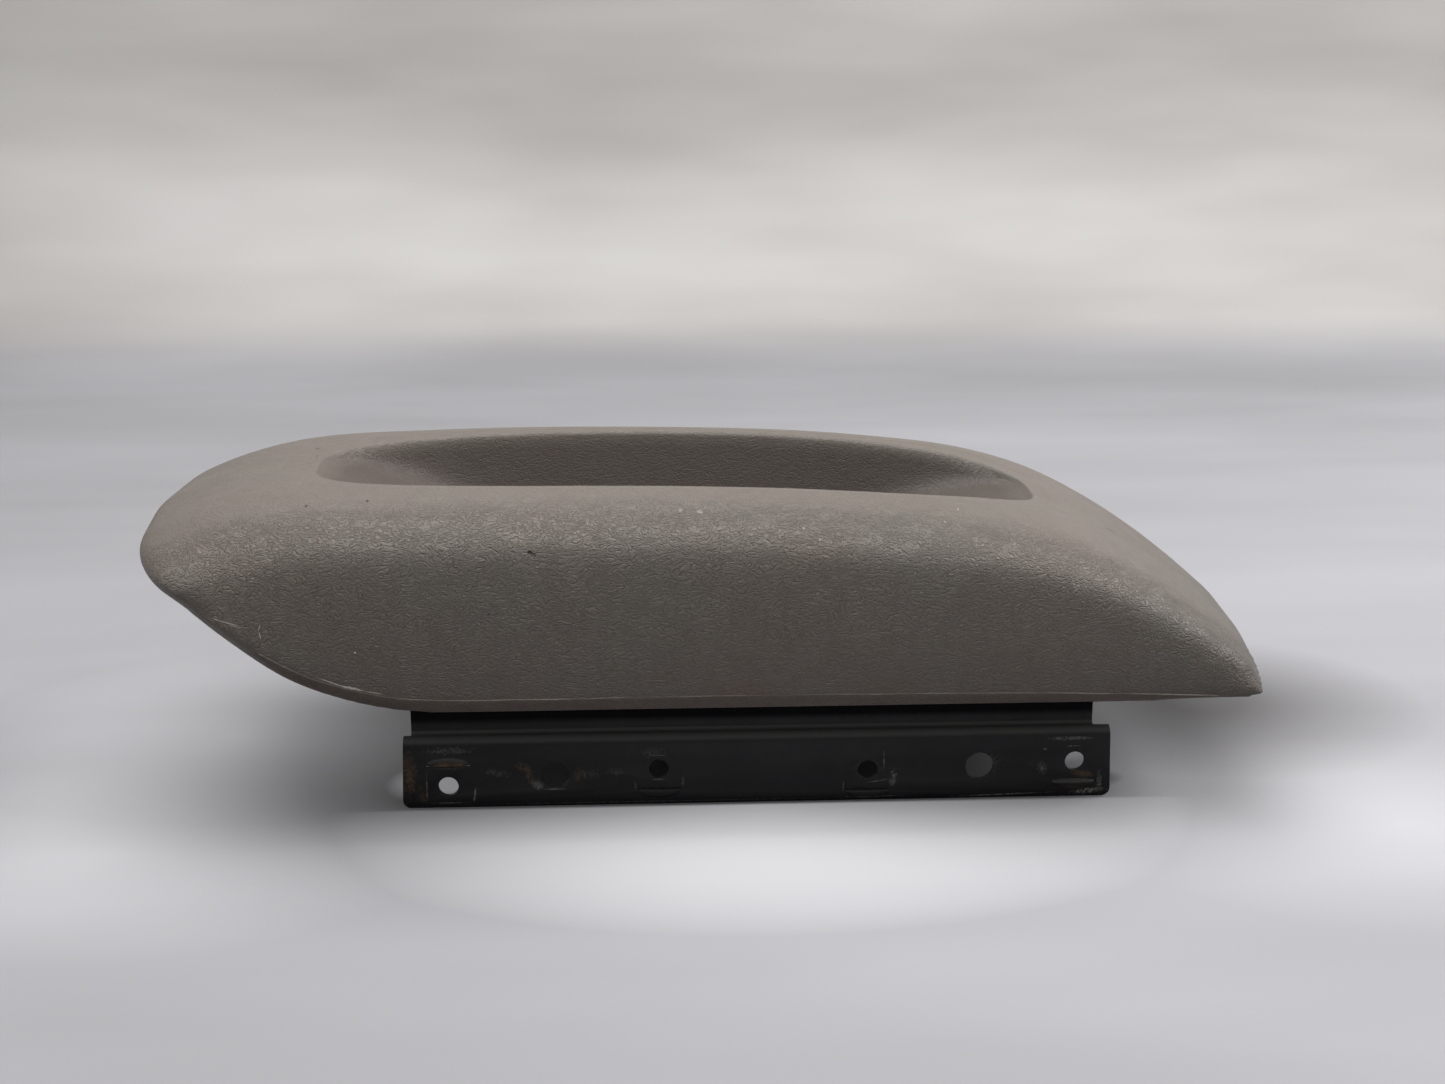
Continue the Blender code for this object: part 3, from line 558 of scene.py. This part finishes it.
# Bracket and fasteners
# Marks on the near flange, in mm: x and z on its face
RUST = [
    (-102.2, 12.0, 4.2, 10.0, 0, 1.4, 1.3, 0.75),
    (-97.5, 5.5, 3.2, 4.5, 0, 1.3, 1.3, 0.45),
    (-88.0, 15.6, 8.2, 1.9, 0, 1.6, 0.9, 0.85),
    (-62.5, 14.2, 4.0, 2.2, 25, 1.6, 1.3, 0.75),
    (-60.5, 10.5, 1.8, 3.6, -20, 1.6, 1.2, 0.7),
    (-44.0, 11.2, 2.2, 3.4, 10, 1.4, 1.3, 0.5),
    (131.5, 8.3, 5.0, 1.8, 8, 1.6, 1.0, 0.7),
    (128.0, 3.4, 6.5, 0.9, 0, 1.4, 1.0, 0.35)]
SCUFFS = [
    (-58.0, 7.8, 2.6, 2.2, 40, 1.6, 1.2, 0.55),
    (-72.0, 12.3, 6.0, 1.6, 10, 1.1, 1.6, 0.25),
    (-88.0, 20.9, 9.0, 1.8, 0, 1.1, 2.2, 0.35),
    (-79.6, 4.6, 0.5, 3.4, 8, 2.5, 0.6, 0.5),
    (-95.9, 8.0, 0.3, 5.6, 0, 2.5, 0.9, 0.45),
    (-88.0, 1.7, 8.5, 0.25, 0, 2.5, 1.0, 0.4),
    (-40.0, 11.4, 4.5, 2.4, 0, 1.0, 1.8, 0.22),
    (-31.0, 12.0, 4.0, 2.0, 0, 1.0, 1.8, 0.2),
    (-52.0, 6.1, 4.8, 0.35, 0, 2.0, 0.7, 0.6),
    (-16.4, 9.0, 3.4, 0.3, 0, 2.5, 0.6, 0.4),
    (-18.0, 19.0, 5.0, 2.2, 0, 1.0, 1.8, 0.2),
    (-16.6, 17.9, 3.6, 0.22, 0, 2.5, 0.6, 0.5),
    (-7.8, 8.0, 0.8, 2.6, 0, 1.6, 1.2, 0.3),
    (-24.2, 7.0, 0.6, 2.4, 0, 1.6, 1.2, 0.25),
    (56.5, 12.4, 5.5, 3.4, 0, 0.8, 1.8, 0.2),
    (61.9, 14.7, 0.45, 4.0, 0, 2.0, 0.8, 0.4),
    (65.2, 8.0, 1.5, 4.2, 8, 1.4, 1.4, 0.55),
    (60.0, 7.0, 5.5, 0.35, -8, 2.0, 0.8, 0.35),
    (47.9, 5.2, 0.25, 2.4, 4, 2.5, 0.6, 0.6),
    (117.3, 10.7, 2.2, 3.0, -25, 1.2, 1.0, 0.4),
    (118.0, 17.8, 0.8, 0.5, 0, 2.0, 0.8, 0.7),
    (127.0, 21.6, 9.2, 1.0, 0, 1.8, 0.9, 0.4),
    (128.1, 18.7, 3.2, 0.25, 0, 2.5, 0.6, 0.55),
    (128.0, 6.3, 7.4, 0.35, 0, 2.0, 0.7, 0.4),
    (133.9, 1.9, 7.0, 1.2, -3, 1.4, 1.5, 0.95),
    (137.6, 4.6, 1.2, 5.5, 0, 1.2, 1.6, 0.5),
    (104.0, 1.1, 22.0, 0.3, -1.5, 2.0, 0.8, 0.6),
    (58.0, 1.3, 14.0, 0.25, 0, 2.0, 0.8, 0.4),
    (-22.0, 0.9, 90.0, 0.22, 0, 1.6, 1.2, 0.3),
    (99.5, 12.5, 3.4, 5.0, 15, 0.9, 1.8, 0.22)]


def face_marks(marks):
    """Marks given by x and z on the near flange, as marks in space."""
    return [(x, FLANGE_Y / MM, z, half_x, 2.6, half_z, turn, hardness, ragged, strength)
            for x, z, half_x, half_z, turn, hardness, ragged, strength in marks]


def make_paint():
    """Satin black paint over sheet steel, with rust at the slots and pale scuffs, upward faces paler with dust
    and a painted highlight, and painted shade on the wall above the flange by a weaker reflection.
    """
    material, tree, shader, place = new_material("black_paint")
    dust = value_range(tree, noise(tree, place, 90.0, 5.0, 0.65), 0.46, 0.75, 0.0, 0.3)
    colour = mix_colour(tree, dust, linear(14, 14, 18), linear(33, 33, 34))
    facing = add_node(tree, "ShaderNodeSeparateXYZ")
    tree.links.new(add_node(tree, "ShaderNodeNewGeometry").outputs["Normal"], facing.inputs[0])
    # Dust and painted highlight: faces turned upward paler, as settled dust and as a painted highlight on the
    # flange's top bend
    dust_and_highlight = value_range(tree, facing.outputs["Z"], 0.1, 0.7, 0.0, 0.85, smooth=True)
    colour = mix_colour(tree, dust_and_highlight, colour, linear(98, 97, 96))
    specks = value_range(tree, noise(tree, place, 1400.0, 2.0, 0.6), 0.70, 0.76, 0.0, 0.5)
    colour = mix_colour(tree, specks, colour, linear(78, 76, 74))
    rust = mark_mask(tree, place, face_marks(RUST))
    grit = value_range(tree, noise(tree, place, 420.0, 5.0, 0.7), 0.34, 0.56)
    rusted = math_node(tree, "MULTIPLY", rust, grit)
    blotches = noise(tree, place, 300.0, 4.0, 0.6)
    rust_tone = mix_colour(tree, blotches, linear(66, 52, 43), linear(132, 108, 84))
    colour = mix_colour(tree, rusted, colour, rust_tone)
    scuff = mark_mask(tree, place, face_marks(SCUFFS))
    streaks = value_range(tree, noise(tree, place, 800.0, 4.0, 0.75), 0.38, 0.62)
    scuffed = math_node(tree, "MULTIPLY", scuff, streaks)
    colour = mix_colour(tree, scuffed, colour, linear(178, 176, 170))
    tree.links.new(colour, shader.inputs["Base Color"])
    level = add_node(tree, "ShaderNodeSeparateXYZ")
    tree.links.new(place, level.inputs[0])
    # Painted sheen and shade: the same paint reflects strongly on the flange and hardly at all on the wall
    # above it, so the wall reads shaded under the pad
    painted_sheen_and_shade = value_range(tree, level.outputs["Z"], 0.028, 0.031, 0.26, 0.03, smooth=True)
    tree.links.new(painted_sheen_and_shade, shader.inputs["Specular IOR Level"])
    rough = value_range(tree, noise(tree, place, 60.0, 4.0), 0.3, 0.7, 0.36, 0.5)
    rough = math_node(tree, "ADD", rough, math_node(tree, "MULTIPLY", rusted, 0.4), clamp=True)
    tree.links.new(rough, shader.inputs["Roughness"])
    peel = noise(tree, place, 700.0, 2.0)
    height = math_node(tree, "ADD", peel, math_node(tree, "MULTIPLY", rusted, 2.5))
    bump = add_node(tree, "ShaderNodeBump")
    bump.inputs["Strength"].default_value = 0.3
    bump.inputs["Distance"].default_value = 0.00008
    tree.links.new(height, bump.inputs["Height"])
    tree.links.new(bump.outputs["Normal"], shader.inputs["Normal"])
    return material


def make_zinc():
    """Dull zinc plated steel with faint cloudy stains."""
    material, tree, shader, place = new_material("zinc_steel")
    clouds = value_range(tree, noise(tree, place, 160.0, 4.0, 0.6), 0.35, 0.7)
    tree.links.new(mix_colour(tree, clouds, linear(168, 168, 162), linear(128, 124, 112)),
                   shader.inputs["Base Color"])
    shader.inputs["Metallic"].default_value = 1.0
    tree.links.new(value_range(tree, clouds, 0.0, 1.0, 0.32, 0.55), shader.inputs["Roughness"])
    return material


def soften_edges(node, name, material, width, segments=2, angle=28.0):
    """A copy of a hard node with rounded edges that catch the light; it stands for the node."""
    bm = bmesh.new()
    bm.from_mesh(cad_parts[node].data)
    bmesh.ops.remove_doubles(bm, verts=bm.verts, dist=1e-6)
    bmesh.ops.dissolve_limit(bm, angle_limit=math.radians(1.0), verts=bm.verts, edges=bm.edges)
    sharp = [edge for edge in bm.edges
             if len(edge.link_faces) == 2 and edge.calc_face_angle(0.0) > math.radians(angle)]
    bmesh.ops.bevel(bm, geom=sharp, offset=width, segments=segments, profile=0.5, affect="EDGES",
                    clamp_overlap=True, material=-1)
    mesh = mesh_from(bm, name, 40.0)
    mesh.materials.clear()
    mesh.materials.append(material)
    piece = link_object(name, mesh)
    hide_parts(node)
    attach(piece, "root")


# Stage
# Painted light and shade on the floor, as marks: painted light before the bracket and round it, painted shadow
# by the tail and inside the bracket's end, and a painted glow where light shows through the end holes, under
# the nose and behind
PAINTED_LIGHT_BEFORE = [(18, -50, 0, 162, 100, 40, 0, 1.0, 0.0, 0.8)]
PAINTED_LIGHT_AROUND = [
    (-200, -80, 0, 120, 80, 40, 0, 1.0, 0.0, 0.2),
    (235, -80, 0, 110, 80, 40, 0, 1.0, 0.0, 0.15)]
PAINTED_SHADOW = [
    (200, 40, 0, 90, 80, 40, 0, 1.2, 0.0, 0.75),
    (131, -34, 0, 20, 10, 40, 0, 2.0, 0.0, 0.95)]
PAINTED_GLOW = [
    (-91, -27, 0, 26, 22, 40, 0, 1.6, 0.0, 0.22),
    (131, -4, 0, 19, 17, 40, 0, 1.6, 0.0, 0.1),
    (-175, 20, 0, 110, 100, 40, 0, 1.0, 0.0, 0.2),
    (-360, 800, 90, 300, 500, 130, 0, 1.0, 0.0, 0.14)]


def build_stage():
    """A pale sheet that runs up behind, with painted light, painted shadow and a painted glow on it. Diffuse
    rays see it plain and darker, so that it adds no light of its own tones to the object."""
    material, tree, shader, place = new_material("pale_ground")
    streaked = add_node(tree, "ShaderNodeVectorMath", operation="MULTIPLY")
    tree.links.new(place, streaked.inputs[0])
    streaked.inputs[1].default_value = (0.5, 1.6, 2.2)
    tone = value_range(tree, noise(tree, streaked.outputs[0], 3.5, 3.0, 0.55), 0.3, 0.7)
    flat = mix_colour(tree, tone, linear(150, 149, 152), linear(166, 165, 169))
    upright = mix_colour(tree, tone, linear(168, 164, 162), linear(196, 194, 191))
    height = add_node(tree, "ShaderNodeSeparateXYZ")
    tree.links.new(place, height.inputs[0])
    risen = value_range(tree, height.outputs["Z"], 0.0, 0.03, smooth=True)
    pale = mix_colour(tree, risen, flat, upright)
    # Painted light: the floor paler before the bracket, cut sharply at its flange, and round it
    in_front = value_range(tree, height.outputs["Y"], FLANGE_Y - 2.0 * MM, FLANGE_Y, 1.0, 0.0)
    painted_light = math_node(tree, "MULTIPLY", in_front, mark_mask(tree, place, PAINTED_LIGHT_BEFORE))
    painted_light = math_node(tree, "MAXIMUM", painted_light, mark_mask(tree, place, PAINTED_LIGHT_AROUND))
    pale = mix_colour(tree, painted_light, pale, linear(250, 250, 252))
    # Painted shadow: the floor darker by the tail and inside the bracket's right end
    pale = mix_colour(tree, mark_mask(tree, place, PAINTED_SHADOW), pale, linear(64, 62, 60))
    path = add_node(tree, "ShaderNodeLightPath")
    seen = math_node(tree, "MAXIMUM", path.outputs["Is Camera Ray"], path.outputs["Is Transmission Ray"])
    seen = math_node(tree, "MAXIMUM", seen, path.outputs["Is Glossy Ray"])
    tree.links.new(mix_colour(tree, seen, linear(128, 126, 124), pale), shader.inputs["Base Color"])
    # Painted glow: the floor glows where light shows through the end holes, under the nose and on the backdrop
    # behind, and softly where it is painted paler before the bracket
    painted_glow_mask = mark_mask(tree, place, PAINTED_GLOW)
    glow = math_node(tree, "MAXIMUM", math_node(tree, "MULTIPLY", painted_light, 0.3), painted_glow_mask)
    glow = math_node(tree, "MULTIPLY", glow, seen)
    shader.inputs["Emission Color"].default_value = (0.97, 0.97, 1.0, 1.0)
    tree.links.new(glow, shader.inputs["Emission Strength"])
    shader.inputs["Roughness"].default_value = 0.8
    shader.inputs["Specular IOR Level"].default_value = 0.2
    bm = bmesh.new()
    bmesh.ops.create_grid(bm, x_segments=1, y_segments=1, size=SHEET_HALF)
    bmesh.ops.translate(bm, verts=bm.verts, vec=(0.0, SHEET_CENTRE_Y, 0.0))
    swept = [edge for edge in bm.edges if all(v.co.y > 0.0 for v in edge.verts)]
    for _ in range(SWEEP_STEPS):
        result = bmesh.ops.spin(bm, geom=swept, cent=(0.0, SWEEP_Y, SWEEP_RADIUS), axis=(1.0, 0.0, 0.0),
                                angle=math.radians(90.0 / SWEEP_STEPS), steps=1)
        swept = [item for item in result["geom_last"] if isinstance(item, bmesh.types.BMEdge)]
    rise = bmesh.ops.extrude_edge_only(bm, edges=swept)
    bmesh.ops.translate(bm, verts=[v for v in rise["geom"] if isinstance(v, bmesh.types.BMVert)],
                        vec=(0.0, 0.0, BACKDROP_RISE))
    bmesh.ops.recalc_face_normals(bm, faces=bm.faces)
    ground = link_object("ground", mesh_from(bm, "ground", 60.0))
    ground.data.materials.append(material)


def add_area_light(name, place, aim, size_x, size_y, power):
    lamp = bpy.data.lights.new(name, "AREA")
    lamp.shape = "RECTANGLE"
    lamp.size = size_x
    lamp.size_y = size_y
    lamp.energy = power
    item = bpy.data.objects.new(name, lamp)
    scene.collection.objects.link(item)
    item.location = place
    item.rotation_euler = (Vector(aim) - Vector(place)).to_track_quat("-Z", "Y").to_euler()


def build_lights():
    world = bpy.data.worlds.new("studio")
    scene.world = world
    world.use_nodes = True
    sky = world.node_tree.nodes["Background"]
    sky.inputs["Color"].default_value = (1.0, 1.0, 1.0, 1.0)
    sky.inputs["Strength"].default_value = 0.3
    add_area_light("overhead", (-0.2, -0.06, 1.1), (0.0, 0.0, 0.0), 1.4, 1.0, 16.0)
    add_area_light("right_back", (1.0, 0.2, 0.75), (0.15, 0.0, 0.08), 0.7, 0.7, 12.5)
    add_area_light("front_fill", (0.0, -1.5, 0.6), (0.0, 0.0, 0.06), 2.0, 0.7, 1.3)


def build_camera():
    look = Vector((math.sin(CAMERA_YAW) * math.cos(CAMERA_ELEVATION),
                   math.cos(CAMERA_YAW) * math.cos(CAMERA_ELEVATION), -math.sin(CAMERA_ELEVATION)))
    data = bpy.data.cameras.new("camera")
    data.sensor_width = SENSOR
    data.lens = FOCAL_PIXELS / PHOTO_WIDTH * SENSOR
    camera = bpy.data.objects.new("camera", data)
    scene.collection.objects.link(camera)
    camera.location = CAMERA_AIM - look * CAMERA_DISTANCE
    camera.rotation_euler = look.to_track_quat("-Z", "Y").to_euler()
    scene.camera = camera


def main():
    scene.view_settings.view_transform = "Standard"
    build_camera()
    build_stage()
    build_lights()
    skin = make_skin()
    paint = make_paint()
    zinc = make_zinc()
    build_pad_skin(skin)
    build_parting_lines(make_bead_skin())
    soften_edges("bracket", "painted_bracket", paint, 0.22 * MM)
    soften_edges("insert_plate", "moulded_in_plate", zinc, 0.3 * MM)
    for i in range(1, 5):
        soften_edges(f"mount_screw_{i}", f"hex_screw_{i}", zinc, 0.3 * MM)
        soften_edges(f"lock_washer_{i}", f"washer_{i}", zinc, 0.2 * MM)
        soften_edges(f"insert_nut_{i}", f"weld_nut_{i}", zinc, 0.3 * MM)


main()
